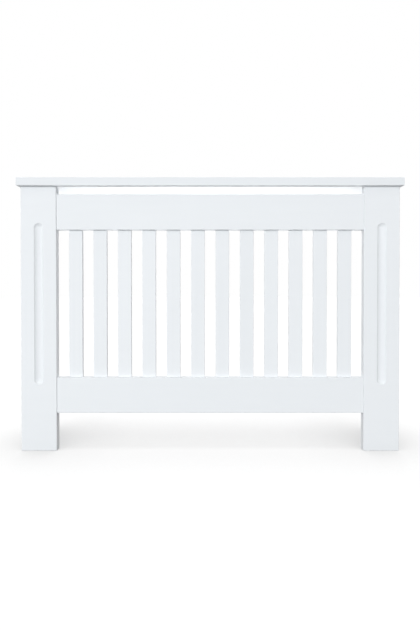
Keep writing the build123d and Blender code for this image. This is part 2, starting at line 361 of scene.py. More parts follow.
def rolled_zinc_plate():
    """Zinc plated sheet: fine rolling lines along the strip, crystals and a few scuffs."""
    material, nodes = new_finish("rolled_zinc_plate")
    place = nodes.add("ShaderNodeTexCoord", output="Object")
    lines = nodes.noise(nodes.stretched(place, 1.0, 0.03, 0.03), 3000.0, 3.0, 0.6)
    crystals = nodes.add("ShaderNodeTexVoronoi", {"Vector": place, "Scale": 260.0}, "Color")
    crystals = nodes.add("ShaderNodeSeparateColor", {"Color": crystals}, "Red")
    scuffs = nodes.noise(nodes.stretched(place, 0.25, 1.0, 1.0), 700.0, 3.0, 0.7)
    scuffs = ((scuffs - 0.60) / 0.06).held()
    shade = (0.35 + crystals * 0.30 + lines * 0.30).held()
    colour = nodes.mix(shade, DARK_SHEET, LIGHT_SHEET)
    dullness = 0.30 + lines * 0.12 + crystals * 0.07 + scuffs * 0.12
    surface(nodes, Base_Color=colour, Metallic=1.0, Roughness=dullness,
            Normal=relief(nodes, lines * 0.000006 + scuffs * 0.000006))
    return material


paint = satin_white()
beech = beech_grain()
zinc = die_cast_zinc()
plate = turned_zinc_plate()
sheet_steel = rolled_zinc_plate()


# Solids

def prism(solid, outline, axis, start, end):
    """Adds a closed prism: a flat outline run along an axis from start to end."""
    first, second = [i for i in (X, Y, Z) if i != axis]
    rings = []
    for level in (start, end):
        ring = []
        for point in outline:
            place = Vector()
            place[axis], place[first], place[second] = level, *point
            ring.append(solid.verts.new(place))
        rings.append(ring)
    near, far = rings
    faces = [solid.faces.new(near), solid.faces.new(far)]
    for i in range(len(outline)):
        faces.append(solid.faces.new((near[i - 1], near[i], far[i], far[i - 1])))
    bmesh.ops.recalc_face_normals(solid, faces=faces)
    return solid


def block(solid, low, high):
    """Adds a block between two corners."""
    outline = [(low[0], low[1]), (high[0], low[1]), (high[0], high[1]), (low[0], high[1])]
    return prism(solid, outline, Z, low[2], high[2])


def arc(middle, radius, start, turn, steps):
    """Points on an arc of a flat outline, angles in radians."""
    angles = [start + turn * i / steps for i in range(steps + 1)]
    return [(middle[0] + radius * math.cos(a), middle[1] + radius * math.sin(a)) for a in angles]


def rod(solid, place, axis, reach, radius, steps=BORE_SIDES):
    """Adds a rod that runs from a place along an axis, as far as reach says both ways."""
    middle = [place[i] for i in (X, Y, Z) if i != axis]
    outline = arc(middle, radius, 0.0, math.tau, steps)[:-1]
    return prism(solid, outline, axis, place[axis] - reach, place[axis] + reach)


def runs_along(edge, axis):
    """Whether an edge is straight along an axis."""
    run = edge.verts[1].co - edge.verts[0].co
    return abs(run[axis]) > 0.999 * run.length


def middle_of(edge):
    return (edge.verts[0].co + edge.verts[1].co) / 2


def soften(solid, radius, steps, chosen):
    """Rounds the chosen edges, or cuts them flat where there is one step."""
    edges = [edge for edge in solid.edges if chosen(edge)]
    bmesh.ops.bevel(solid, geom=edges, offset=radius, segments=steps, profile=0.5,
                    affect="EDGES", clamp_overlap=False)


def ease(solid, radius=EASE):
    """Takes the sharpness off every square edge."""
    soften(solid, radius, EASE_STEPS, lambda edge: edge.calc_face_angle(0) > math.radians(SQUARE))


def as_object(name, solid):
    """Makes an object of a solid, which is used up."""
    mesh = bpy.data.meshes.new(name)
    solid.to_mesh(mesh)
    solid.free()
    piece = bpy.data.objects.new(name, mesh)
    bpy.context.scene.collection.objects.link(piece)
    return piece


def settle(piece):
    """Turns what the modifiers make into the piece's own mesh."""
    graph = bpy.context.evaluated_depsgraph_get()
    mesh = bpy.data.meshes.new_from_object(
        piece.evaluated_get(graph), preserve_all_data_layers=True, depsgraph=graph)
    piece.modifiers.clear()
    piece.data = mesh


def combine(piece, tool, operation="DIFFERENCE"):
    """Cuts a tool's solid out of the piece, or joins it on."""
    combine_object(piece, as_object("tool", tool), operation)


def combine_object(piece, helper, operation="DIFFERENCE"):
    """The same with a tool that is an object, which is used up."""
    modifier = piece.modifiers.new("tool", "BOOLEAN")
    modifier.solver = "EXACT"
    modifier.operation = operation
    modifier.object = helper
    settle(piece)
    bpy.data.objects.remove(helper)


def mark_cut_faces(piece, axis, low, high):
    """Marks what isn't in the two broad faces of a board: its edges, groove and bores."""
    mesh = piece.data
    cut = mesh.attributes.new("cut", "FLOAT", "FACE")
    for face, item in zip(mesh.polygons, cut.data):
        level = face.center[axis]
        flat = min(abs(level - low), abs(level - high)) < TOUCH
        item.value = 0.0 if flat else 1.0


def even_shading(piece, angle=SHARP):
    """Smooth across rounded edges, flat on flat faces, sharp where the shape is."""
    mesh = piece.data
    mesh.polygons.foreach_set("use_smooth", [True] * len(mesh.polygons))
    mesh.set_sharp_from_angle(angle=math.radians(angle))
    modifier = piece.modifiers.new("weights", "WEIGHTED_NORMAL")
    modifier.keep_sharp = True
    modifier.weight = 100
    settle(piece)


def keep(piece, finish, nodes):
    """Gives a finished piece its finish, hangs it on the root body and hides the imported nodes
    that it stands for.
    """
    piece.data.materials.clear()
    piece.data.materials.append(finish)
    for face in piece.data.polygons:
        face.material_index = 0
    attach(piece, "root")
    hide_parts(*nodes)


def keep_board(piece, axis, low, high, tone, nodes):
    """Finishes a painted board, whose broad faces look along an axis. A rail has tones
    already, from the cutters of its notches, and they are written over."""
    mesh = piece.data
    mark_cut_faces(piece, axis, low[axis], high[axis])
    tones = mesh.attributes.get("tone") or mesh.attributes.new("tone", "FLOAT", "POINT")
    tones.data.foreach_set("value", [tone] * len(mesh.vertices))
    even_shading(piece)
    keep(piece, paint, nodes)


# Shapes grown by nodes

def new_shape(name, sizes):
    """A Geometry Nodes tree with a named input for each size."""
    tree = bpy.data.node_groups.new(name, "GeometryNodeTree")
    tree.interface.new_socket("Places", in_out="INPUT", socket_type="NodeSocketGeometry")
    for label, value in sizes.items():
        kind = "Float"
        if isinstance(value, int):
            kind = "Int"
        elif isinstance(value, tuple):
            kind = "Vector"
        elif isinstance(value, bpy.types.Material):
            kind = "Material"
        tree.interface.new_socket(label, in_out="INPUT", socket_type=f"NodeSocket{kind}")
    tree.interface.new_socket("Geometry", in_out="OUTPUT", socket_type="NodeSocketGeometry")
    nodes = Nodes(tree)
    return nodes, nodes.add("NodeGroupInput")


def grow(name, nodes, sizes, places=()):
    """Runs a tree on a mesh of places and keeps the result as a plain mesh. A place is a
    point, the way the shape's top looks and the way its x axis looks."""
    mesh = bpy.data.meshes.new(name)
    mesh.from_pydata([place[0] for place in places], [], [])
    for index, label in ((1, "top"), (2, "side")):
        ways = mesh.attributes.new(label, "FLOAT_VECTOR", "POINT")
        for item, place in zip(ways.data, places):
            item.vector = place[index]
    piece = bpy.data.objects.new(name, mesh)
    bpy.context.scene.collection.objects.link(piece)
    modifier = piece.modifiers.new(name, "NODES")
    modifier.node_group = nodes.tree
    for item in nodes.tree.interface.items_tree:
        if item.in_out == "INPUT" and item.name in sizes:
            modifier[item.identifier] = sizes[item.name]
    settle(piece)
    solid = bmesh.new()
    solid.from_mesh(piece.data)
    bmesh.ops.dissolve_degenerate(solid, edges=solid.edges, dist=SLIVER)
    bmesh.ops.recalc_face_normals(solid, faces=solid.faces)
    solid.to_mesh(piece.data)
    solid.free()
    return piece


def vector(nodes, x=0.0, y=0.0, z=0.0):
    return nodes.add("ShaderNodeCombineXYZ", {"X": x, "Y": y, "Z": z})


def moved(nodes, shape, x=0.0, y=0.0, z=0.0, turn=0.0):
    """A shape turned about the z axis, then moved."""
    return nodes.add("GeometryNodeTransform", {
        "Geometry": shape, "Translation": vector(nodes, x, y, z), "Rotation": (0.0, 0.0, turn)})


def joined(nodes, shapes):
    return nodes.add("GeometryNodeJoinGeometry", {"Geometry": list(shapes)})


def turned(nodes, stations, sides):
    """A closed solid turned about the z axis: heights and radii from its lowest point to its
    highest, both on the axis."""
    bands = []
    for (low, low_radius), (high, high_radius) in zip(stations, stations[1:]):
        band = nodes.add("GeometryNodeMeshCone", {
            "Vertices": sides, "Radius Bottom": low_radius, "Radius Top": high_radius,
            "Depth": high - low}, fill_type="NONE")
        bands.append(moved(nodes, band, z=low))
    whole = joined(nodes, bands)
    return nodes.add("GeometryNodeMergeByDistance", {"Geometry": whole, "Distance": SAME_PLACE})


def bar(nodes, x, y, z):
    return nodes.add("GeometryNodeMeshCube", {"Size": vector(nodes, x, y, z)})


def without(nodes, shape, tools):
    return nodes.add("GeometryNodeMeshBoolean", {"Mesh 1": shape, "Mesh 2": tools},
                     operation="DIFFERENCE", solver="EXACT")


def cross_recess(nodes, shape, top, span, width, depth):
    """A driver's cross pressed into the top of a shape."""
    tools = [moved(nodes, bar(nodes, span, width, depth * 2), z=top, turn=turn)
             for turn in (0.0, math.pi / 2)]
    return without(nodes, shape, tools)


def thread(nodes, radius, crest, pitch, length):
    """The four-sided ridge of a thread, winding up from the origin."""
    path = nodes.add("GeometryNodeCurveSpiral", {
        "Resolution": THREAD_STEPS, "Rotations": length / pitch, "Start Radius": radius,
        "End Radius": radius, "Height": length})
    path = nodes.add("GeometryNodeSetCurveNormal", {"Curve": path}, mode="Z_UP")
    ridge = nodes.add("GeometryNodeCurvePrimitiveCircle", {"Resolution": 4, "Radius": crest},
                      "Curve")
    return nodes.add("GeometryNodeCurveToMesh", {
        "Curve": path, "Profile Curve": ridge, "Fill Caps": True})


def placed(nodes, given, shape):
    """Stores where each point is in the shape, puts a copy at every place and ends the tree."""
    own = nodes.add("GeometryNodeInputPosition")
    shape = nodes.add("GeometryNodeStoreNamedAttribute", {
        "Geometry": shape, "Name": "worked", "Value": own}, data_type="FLOAT_VECTOR")
    top, side = [nodes.add("GeometryNodeInputNamedAttribute", {"Name": label},
                           data_type="FLOAT_VECTOR") for label in ("top", "side")]
    turn = nodes.add("FunctionNodeAxesToRotation", {"Primary Axis": top, "Secondary Axis": side},
                     primary_axis="Z", secondary_axis="X")
    copies = nodes.add("GeometryNodeInstanceOnPoints", {
        "Points": given.out("Places"), "Instance": shape, "Rotation": turn})
    end_tree(nodes, given, copies)


def end_tree(nodes, given, shape):
    """Makes the copies real, gives them their finish and puts them out."""
    shape = nodes.add("GeometryNodeRealizeInstances", {"Geometry": shape})
    shape = nodes.add("GeometryNodeSetMaterial", {
        "Geometry": shape, "Material": given.out("Finish")})
    nodes.add("NodeGroupOutput", {"Geometry": shape})


def slat_row(name, sizes):
    """A row of upright bars with rounded edges, each with a tone of its own."""
    nodes, given = new_shape("slat_row", sizes)
    profile = nodes.add("GeometryNodeCurvePrimitiveQuadrilateral", {
        "Width": given.out("Width"), "Height": given.out("Thickness")})
    profile = nodes.add("GeometryNodeFilletCurve", {
        "Curve": profile, "Radius": given.out("Edge radius"), "Count": given.out("Edge steps")},
        mode="POLY")
    path = nodes.add("GeometryNodeCurvePrimitiveLine", {
        "End": vector(nodes, z=given.out("Length"))})
    slat = nodes.add("GeometryNodeCurveToMesh", {
        "Curve": path, "Profile Curve": profile, "Fill Caps": True})
    row = nodes.add("GeometryNodeMeshLine", {
        "Count": given.out("Slats"), "Start Location": given.out("First"),
        "Offset": vector(nodes, given.out("Pitch"))})
    slats = nodes.add("GeometryNodeInstanceOnPoints", {"Points": row, "Instance": slat})
    chance = nodes.add("FunctionNodeRandomValue", {
        "Min": -1.0, "Max": 1.0, "Seed": given.out("Seed")}, "Value", data_type="FLOAT")
    chance = Value(nodes, [s for s in chance.socket.node.outputs if s.enabled][0])
    slats = nodes.add("GeometryNodeStoreNamedAttribute", {
        "Geometry": slats, "Name": "tone", "Value": chance}, data_type="FLOAT",
        domain="INSTANCE")
    end_tree(nodes, given, slats)
    return grow(name, nodes, sizes)


# Boards

def make_shelf():
    solid = block(bmesh.new(), shelf_low, shelf_high)
    soften(solid, EDGE, EDGE_STEPS, lambda edge: (
        not runs_along(edge, Z) and middle_of(edge).y < wall - TOUCH))
    ease(solid)
    shelf = as_object("shelf_board", solid)
    bores = bmesh.new()
    for side in (LEFT, RIGHT):
        for y in shelf_cam_ys:
            rod(bores, (side * joint_x, y, underside), Z, THREAD_BORE_DEPTH, THREAD_BORE)
        rod(bores, (side * joint_x, shelf_dowel_y, underside), Z,
            DOWEL_IN_SHELF + DOWEL_END_ROOM, DOWEL_RADIUS + DOWEL_ROOM)
        rod(bores, (side * bracket_middle, wall - SCREW_FROM_WALL, underside), Z,
            SCREW_BORE_DEPTH, SCREW_BORE)
    combine(shelf, bores)
    keep_board(shelf, Z, shelf_low, shelf_high, SHELF_TONE, ["top_shelf"])
    return shelf


def groove_cutter(middle, front):
    """The shape that a ball-nosed cutter leaves, with the rim sanded round: closed rings
    from the bottom line of the groove up to its rim and out of the board."""
    half = GROOVE_WIDTH / 2
    radius = (half**2 + GROOVE_DEPTH**2) / (2 * GROOVE_DEPTH)
    lift = radius - GROOVE_DEPTH
    rim_middle = math.sqrt((radius + GROOVE_RIM)**2 - (lift + GROOVE_RIM)**2)
    slope = math.asin(rim_middle / (radius + GROOVE_RIM))
    rings = []
    for i in range(GROOVE_STEPS + 1):
        angle = slope * i / GROOVE_STEPS
        rings.append((radius * math.sin(angle), radius * math.cos(angle) - lift))
    for i in range(1, GROOVE_RIM_STEPS + 1):
        angle = slope * (1 - i / GROOVE_RIM_STEPS)
        rings.append((rim_middle - GROOVE_RIM * math.sin(angle),
                      GROOVE_RIM * (1 - math.cos(angle))))
    rings.append((rim_middle, -CUTTER_REACH))
    ends = (GROOVE_BOTTOM + half, GROOVE_BOTTOM + GROOVE_LENGTH - half)
    solid = bmesh.new()
    loops = []
    for reach, depth in rings:
        outline = arc((middle, ends[1]), reach, 0.0, math.pi, GROOVE_END_STEPS)
        outline += arc((middle, ends[0]), reach, math.pi, math.pi, GROOVE_END_STEPS)
        loops.append([solid.verts.new((x, front + depth, z)) for x, z in outline])
    for inner, outer in zip(loops, loops[1:]):
        for i in range(len(inner)):
            solid.faces.new((inner[i - 1], inner[i], outer[i], outer[i - 1]))
    solid.faces.new(loops[-1])
    bmesh.ops.remove_doubles(solid, verts=solid.verts, dist=SAME_PLACE)
    bmesh.ops.recalc_face_normals(solid, faces=solid.faces)
    return solid


def make_leg(side, name):
    low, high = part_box(f"{name}_leg")
    solid = block(bmesh.new(), low, high)
    soften(solid, EDGE, EDGE_STEPS, lambda edge: (
        middle_of(edge).y < low.y + TOUCH and middle_of(edge).z < high.z - TOUCH))
    ease(solid)
    leg = as_object(f"{name}_leg_board", solid)
    combine(leg, groove_cutter(side * leg_middle, low.y))
    bores = bmesh.new()
    inner = side * leg_low.x
    far = inner + side * (RAIL_TENON + JOINT_END_ROOM)
    half_thickness = RAIL_TENON_THICKNESS / 2 + JOINT_ROOM
    middle_y = (low.y + high.y) / 2
    for rail in ("bottom_rail", "top_rail"):
        rail_low, rail_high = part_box(rail)
        block(bores,
              (min(inner - side * EDGE, far), middle_y - half_thickness,
               rail_low.z + RAIL_SHOULDER - JOINT_ROOM),
              (max(inner - side * EDGE, far), middle_y + half_thickness,
               rail_high.z - RAIL_SHOULDER + JOINT_ROOM))
    for z in leg_cam_zs:
        rod(bores, (side * joint_x, leg_back, z), Y, THREAD_BORE_DEPTH, THREAD_BORE)
    rod(bores, (side * joint_x, leg_back, leg_dowel_z), Y,
        DOWEL_IN_LEG + DOWEL_END_ROOM, DOWEL_RADIUS + DOWEL_ROOM)
    combine(leg, bores)
    # The legs' tone is painted light: the right leg lighter and the left darker, against the key
    # light's fall-off
    keep_board(leg, Y, low, high, LEG_PAINTED_LIGHT * side, [f"{name}_leg"])


def make_side(side, name):
    low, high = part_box(f"{name}_side_panel")
    notch = wall - SKIRTING_DEPTH
    corner = (notch + SKIRTING_RADIUS, SKIRTING_HEIGHT - SKIRTING_RADIUS)
    outline = [(low.y, 0.0), (low.y, high.z), (wall, high.z), (wall, SKIRTING_HEIGHT)]
    outline += arc(corner, SKIRTING_RADIUS, math.pi / 2, math.pi / 2, SKIRTING_STEPS)
    outline += [(notch, 0.0)]
    solid = prism(bmesh.new(), outline, X, low.x, high.x)
    ease(solid)
    panel = as_object(f"{name}_side_board", solid)
    bores = bmesh.new()
    for y in shelf_cam_ys:
        rod(bores, (side * joint_x, y, underside), Z, CAM_DISTANCE, BOLT_BORE)
    for z in leg_cam_zs:
        rod(bores, (side * joint_x, leg_back, z), Y, CAM_DISTANCE, BOLT_BORE)
    rod(bores, (side * joint_x, shelf_dowel_y, underside), Z,
        DOWEL_LENGTH - DOWEL_IN_SHELF + DOWEL_END_ROOM, DOWEL_RADIUS + DOWEL_ROOM)
    rod(bores, (side * joint_x, leg_back, leg_dowel_z), Y,
        DOWEL_LENGTH - DOWEL_IN_LEG + DOWEL_END_ROOM, DOWEL_RADIUS + DOWEL_ROOM)
    combine(panel, bores)
    pockets = bmesh.new()
    for y, z in cam_places():
        rod(pockets, (side * side_inside, y, z), X, CAM_POCKET_DEPTH, CAM_POCKET_RADIUS,
            CAM_SIDES)
    combine(panel, pockets)
    keep_board(panel, X, low, high, SIDE_PANEL_TONE * side, [f"{name}_side_panel"])


def cam_places():
    """Where the cam locks sit in a side panel: first the shelf's, then the leg's."""
    shelf_cams = [(y, underside - CAM_DISTANCE) for y in shelf_cam_ys]
    return shelf_cams + [(leg_back + CAM_DISTANCE, z) for z in leg_cam_zs]


def make_rail(node, notched_top):
    """A rail with its tenons and the notches in its back that take the slats' ends, open at
    its top or else at its bottom."""
    low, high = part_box(node)
    shoulder = leg_low.x
    solid = block(bmesh.new(), (-shoulder, low.y, low.z), (shoulder, high.y, high.z))
    soften(solid, EDGE, EDGE_STEPS, lambda edge: (
        runs_along(edge, X) and middle_of(edge).y < low.y + TOUCH))
    ease(solid, RAIL_EASE)
    rail = as_object(f"{node}_board", solid)
    middle_y = (leg_low.y + leg_high.y) / 2
    tenon = block(bmesh.new(),
                  (low.x, middle_y - RAIL_TENON_THICKNESS / 2, low.z + RAIL_SHOULDER),
                  (high.x, middle_y + RAIL_TENON_THICKNESS / 2, high.z - RAIL_SHOULDER))
    combine(rail, tenon, "UNION")
    start = first_slat_low.z if notched_top else low.z - EDGE
    end = high.z + EDGE if notched_top else first_slat_high.z + JOINT_END_ROOM
    front, back = first_slat_low.y - JOINT_ROOM, high.y + 2 * SLAT_EDGE
    notches = slat_row("notches", {
        "Slats": SLATS, "First": (first_slat_low.x + slat_size.x / 2, (front + back) / 2, start),
        "Pitch": slat_pitch, "Width": slat_size.x + 2 * JOINT_ROOM,
        "Thickness": back - front, "Length": end - start,
        "Edge radius": SLAT_EDGE, "Edge steps": SLAT_EDGE_STEPS, "Seed": NOTCH_SEED,
        "Finish": paint})
    combine_object(rail, notches)
    keep_board(rail, Y, low, high, 0.0, [node])
    return rail


def make_slats():
    slats = slat_row("slats", {
        "Slats": SLATS,
        "First": (first_slat_low.x + slat_size.x / 2, slat_middle_y, first_slat_low.z),
        "Pitch": slat_pitch, "Width": slat_size.x, "Thickness": slat_size.y,
        "Length": slat_size.z, "Edge radius": SLAT_EDGE, "Edge steps": SLAT_EDGE_STEPS,
        "Seed": SLAT_SEED, "Finish": paint})
    mark_cut_faces(slats, Y, first_slat_low.y, first_slat_high.y)
    even_shading(slats)
    keep(slats, paint, [f"slat_{i:02d}" for i in range(1, SLATS + 1)])


# Fittings

def keep_fitting(name, nodes, sizes, places, cad_node, angle=SHARP):
    """Grows one piece from a fitting's tree and finishes it."""
    piece = grow(name, nodes, sizes, places)
    even_shading(piece, angle)
    keep(piece, sizes["Finish"], [cad_node])


def make_dowels():
    """Fluted dowels with chamfered ends."""
    sizes = {"Radius": DOWEL_RADIUS, "Length": DOWEL_LENGTH, "Chamfer": DOWEL_CHAMFER,
             "Flute depth": FLUTE_DEPTH, "Flutes": FLUTES, "Start": 0.0, "Finish": beech}
    nodes, given = new_shape("dowel", sizes)
    radius, length, chamfer = [given.out(n) for n in ("Radius", "Length", "Chamfer")]
    start = given.out("Start")
    shape = turned(nodes, [
        (start, 0.0), (start, radius - chamfer), (start + chamfer, radius),
        (start + length - chamfer, radius), (start + length, radius - chamfer),
        (start + length, 0.0)], DOWEL_SIDES)
    place = nodes.add("GeometryNodeInputPosition")
    parts = nodes.add("ShaderNodeSeparateXYZ", {"Vector": place})
    x, y = parts.out("X"), parts.out("Y")
    angle = x.maths("ARCTAN2", y, x)
    wave = angle.maths("COSINE", angle * given.out("Flutes"))
    press = given.out("Flute depth") * (0.5 - wave * 0.5) / radius
    push = vector(nodes, 0 - x * press, 0 - y * press)
    shape = nodes.add("GeometryNodeSetPosition", {"Geometry": shape, "Offset": push})
    placed(nodes, given, shape)
    shelf_places = [((side * joint_x, shelf_dowel_y, underside), (0, 0, -1), (1, 0, 0))
                    for side in (LEFT, RIGHT)]
    keep_fitting("fluted_shelf_dowels", nodes, {**sizes, "Start": -DOWEL_IN_SHELF},
                 shelf_places, "shelf_dowels", FLUTE_SHARP)
    for side, name in SIDES:
        keep_fitting(f"fluted_{name}_leg_dowel", nodes, {**sizes, "Start": -DOWEL_IN_LEG},
                     [((side * joint_x, leg_back, leg_dowel_z), (0, 1, 0), (1, 0, 0))],
                     f"{name}_leg_dowel", FLUTE_SHARP)


def make_cam_locks():
    """Cam locks with a driver's cross, a mark that points at the bolt, the mouth that lets
    its head in and the slot that it follows."""
    sizes = {"Radius": CAM_RADIUS, "Height": CAM_HEIGHT, "Axis depth": CAM_AXIS_DEPTH,
             "Head width": 2 * BOLT_HEAD_RADIUS + BOLT_HEAD_ROOM,
             "Shank width": 2 * BOLT_RADIUS + BOLT_HEAD_ROOM, "Rim": CAM_RIM, "Finish": zinc}
    nodes, given = new_shape("cam_lock", sizes)
    radius, height, rim = [given.out(n) for n in ("Radius", "Height", "Rim")]
    axis = 0 - given.out("Axis depth")
    head, shank = given.out("Head width"), given.out("Shank width")
    base = 0 - height
    shape = turned(nodes, [
        (base, 0.0), (base, radius - rim), (base + rim, radius), (0 - rim, radius),
        (0.0, radius - rim), (0.0, radius * CAM_FACE), (0 - rim * 0.5, radius * CAM_SUNK_FACE),
        (0 - rim * 0.5, 0.0)], CAM_SIDES)
    hollow_z = axis - height * 0.5
    room = bar(nodes, head * CAM_ROOM, head * CAM_ROOM, head + height)
    room = moved(nodes, room, z=hollow_z, turn=CAM_TURN)
    mouth = bar(nodes, radius * 2, head, head + height)
    mouth = moved(nodes, mouth, x=radius, z=hollow_z)
    mouth = moved(nodes, mouth, turn=CAM_TURN)
    way = nodes.add("GeometryNodeCurveArc", {
        "Resolution": CAM_SLOT_STEPS, "Radius": radius, "Start Angle": 0.0,
        "Sweep Angle": CAM_TURN}, "Curve")
    section = nodes.add("GeometryNodeCurvePrimitiveQuadrilateral", {
        "Width": radius * CAM_SLOT_REACH, "Height": shank})
    way = nodes.add("GeometryNodeSetCurveNormal", {"Curve": way}, mode="Z_UP")
    slot = nodes.add("GeometryNodeCurveToMesh", {
        "Curve": way, "Profile Curve": section, "Fill Caps": True})
    slot = moved(nodes, slot, z=axis)
    throat = moved(nodes, bar(nodes, radius * 2, shank, shank), x=radius, z=axis)
    shape = without(nodes, shape, [room, mouth])
    shape = without(nodes, shape, [slot])
    shape = without(nodes, shape, [throat])
    shape = cross_recess(nodes, shape, 0.0, *CAM_CROSS)
    triangle = nodes.add("GeometryNodeMeshCylinder", {
        "Vertices": 3, "Radius": CAM_MARK_RADIUS, "Depth": 2 * CAM_MARK_DEPTH}, "Mesh")
    shape = without(nodes, shape, [moved(nodes, triangle, x=radius * CAM_MARK_PLACE)])
    placed(nodes, given, shape)
    to_bolts = [(0, 0, 1), (0, 0, 1), (0, -1, 0), (0, -1, 0)]
    places = {}
    for side in (LEFT, RIGHT):
        places[side] = [((side * side_inside, y, z), (-side, 0, 0), to_bolt)
                        for (y, z), to_bolt in zip(cam_places(), to_bolts)]
    keep_fitting("shelf_cams", nodes, sizes, places[LEFT][:2] + places[RIGHT][:2],
                 "shelf_cam_locks")
    for side, name in SIDES:
        keep_fitting(f"{name}_leg_cams", nodes, sizes, places[side][2:],
                     f"{name}_leg_cam_locks")


def make_bolts():
    """Bolts with a coarse thread in the board, a collar, a plain shank and a round head."""
    sizes = {"Radius": BOLT_RADIUS, "Reach": BOLT_REACH, "Distance": CAM_DISTANCE,
             "Head radius": BOLT_HEAD_RADIUS, "Head length": BOLT_HEAD_LENGTH,
             "Core": BOLT_CORE, "Pitch": BOLT_PITCH, "Finish": plate}
    nodes, given = new_shape("cam_bolt", sizes)
    radius, reach, distance = [given.out(n) for n in ("Radius", "Reach", "Distance")]
    head, length, core = [given.out(n) for n in ("Head radius", "Head length", "Core")]
    tip = 0 - reach
    head_low, head_high = distance - length * 0.5, distance + length * 0.5
    chamfer = length * BOLT_HEAD_CHAMFER
    body = turned(nodes, [
        (tip, 0.0), (tip, core * 0.55), (tip + core * 0.5, core), (0 - core * 0.5, core),
        (0 - core * 0.5, radius), (head_low, radius), (head_low, head - chamfer),
        (head_low + chamfer, head), (head_high - chamfer, head), (head_high, head - chamfer),
        (head_high, 0.0)], STEEL_SIDES)
    ridge = thread(nodes, core, radius - core, given.out("Pitch"), reach - core * 1.6)
    shape = joined(nodes, [body, moved(nodes, ridge, z=tip + core * 0.6)])
    placed(nodes, given, shape)
    shelf_places = [((side * joint_x, y, underside), (0, 0, -1), (1, 0, 0))
                    for side in (LEFT, RIGHT) for y in shelf_cam_ys]
    keep_fitting("shelf_threaded_bolts", nodes, sizes, shelf_places,
                 "shelf_cam_bolts")
    for side, name in SIDES:
        keep_fitting(f"{name}_leg_threaded_bolts", nodes, sizes,
                     [((side * joint_x, leg_back, z), (0, 1, 0), (1, 0, 0)) for z in leg_cam_zs],
                     f"{name}_leg_cam_bolts")


def make_screws():
    """Pan head screws with a cross, driven up through the brackets."""
    sizes = {"Radius": SCREW_RADIUS, "Length": SCREW_LENGTH, "Head radius": SCREW_HEAD_RADIUS,
             "Head height": SCREW_HEAD_HEIGHT, "Under head": BRACKET_THICKNESS,
             "Core": SCREW_CORE, "Pitch": SCREW_PITCH, "Finish": plate}
    nodes, given = new_shape("bracket_screw", sizes)
    radius, length, core = [given.out(n) for n in ("Radius", "Length", "Core")]
    head, height, seat = [given.out(n) for n in ("Head radius", "Head height", "Under head")]
    tip = seat - length
    dome = [(seat + height * (0.35 + 0.65 * math.sin(a)), head * (0.30 + 0.70 * math.cos(a)))
            for a in (0.0, 0.4, 0.8, 1.2, math.pi / 2)]
    body = turned(nodes, [
        (tip, 0.0), (tip + core * 2.2, core), (seat - core, core), (seat - core * 0.5, radius),
        (seat, radius), (seat, head * 0.96)] + dome + [(seat + height, 0.0)], STEEL_SIDES)
    body = cross_recess(nodes, body, SCREW_HEAD_HEIGHT + BRACKET_THICKNESS, *SCREW_CROSS)
    ridge = thread(nodes, core, radius - core, given.out("Pitch"), length - core * 4.5)
    shape = joined(nodes, [body, moved(nodes, ridge, z=tip + core * 2.0)])
    placed(nodes, given, shape)
    places = [((side * bracket_middle, wall - SCREW_FROM_WALL, underside), (0, 0, -1),
               SCREW_CROSS_WAY) for side in (LEFT, RIGHT)]
    keep_fitting("cross_head_screws", nodes, sizes, places, "bracket_screws")


def make_bracket(side, name):
    """A pressed angle, bent round on both faces, with its free corners cut off."""
    low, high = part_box(f"{name}_wall_bracket")
    top = underside
    inner_y, inner_z = wall - BRACKET_THICKNESS, top - BRACKET_THICKNESS
    outer = BRACKET_BEND + BRACKET_THICKNESS
    bend = (wall - outer, top - outer)
    outline = [(low.y, top)]
    outline += arc(bend, outer, math.pi / 2, -math.pi / 2, BRACKET_BEND_STEPS)
    outline += [(wall, low.z), (inner_y, low.z)]
    outline += arc(bend, BRACKET_BEND, 0.0, math.pi / 2, BRACKET_BEND_STEPS)
    outline += [(low.y, inner_z)]
    solid = prism(bmesh.new(), outline, X, low.x, high.x)
    soften(solid, BRACKET_CORNER, 1, lambda edge: (
        (runs_along(edge, Z) and middle_of(edge).y < low.y + TOUCH)
        or (runs_along(edge, Y) and middle_of(edge).z < low.z + TOUCH)))
    ease(solid, PRESSED_EASE)
    bracket = as_object(f"{name}_bent_bracket", solid)
    middle = side * bracket_middle
    holes = bmesh.new()
    rod(holes, (middle, wall - SCREW_FROM_WALL, top), Z, 2 * BRACKET_THICKNESS,
        SCREW_HOLE_RADIUS, STEEL_SIDES)
    rod(holes, (middle, wall, top - WALL_HOLE_DROP), Y, 2 * BRACKET_THICKNESS,
        WALL_HOLE_RADIUS, STEEL_SIDES)
    combine(bracket, holes)
    even_shading(bracket)
    keep(bracket, sheet_steel, [f"{name}_wall_bracket"])


shelf = make_shelf()
make_rail("bottom_rail", True)
top_rail = make_rail("top_rail", False)
make_slats()
for side, name in SIDES:
    make_leg(side, name)
    make_side(side, name)
    make_bracket(side, name)
make_dowels()
make_cam_locks()
make_bolts()
make_screws()


# Stage

FLOOR_RADIUS = 14.0
FLOOR_SIDES = 64
FLOOR_WHITE = (0.95, 0.95, 0.95)
FLOOR_GREY = (0.20, 0.20, 0.20)  # for the light that it sends back
FLOOR_GLOW = 1.1
GLOW_SHARE = 0.7
NEAR = 0.30  # how close a thing has to stand to cast the floor's painted shade
NEAR_SIDE = (-0.2, -0.5, 1.0)  # mostly from above, a little from the front left
NEAR_SHARE = 0.44
WORLD_GREY = 0.60
KEY_COLOUR = (0.972, 1.0, 1.022)  # faintly cool, as in the photograph

CAMERA_PLACE = (0.0, -1.133, 0.4844)  # worked out from the edges in the photograph
CAMERA_TILT = 0.51  # degrees downwards
CAMERA_LENS = 20.6  # millimetres
CAMERA_SENSOR = 36.0
CAMERA_SHIFT = (-0.00029, -0.0423)


def seen_white(nodes):
    """One for rays from the camera, from gloss and through glass, nothing for others."""
    rays = nodes.add("ShaderNodeLightPath", output="Is Camera Ray")
    return (rays + rays.out("Is Glossy Ray") + rays.out("Is Transmission Ray")).held()


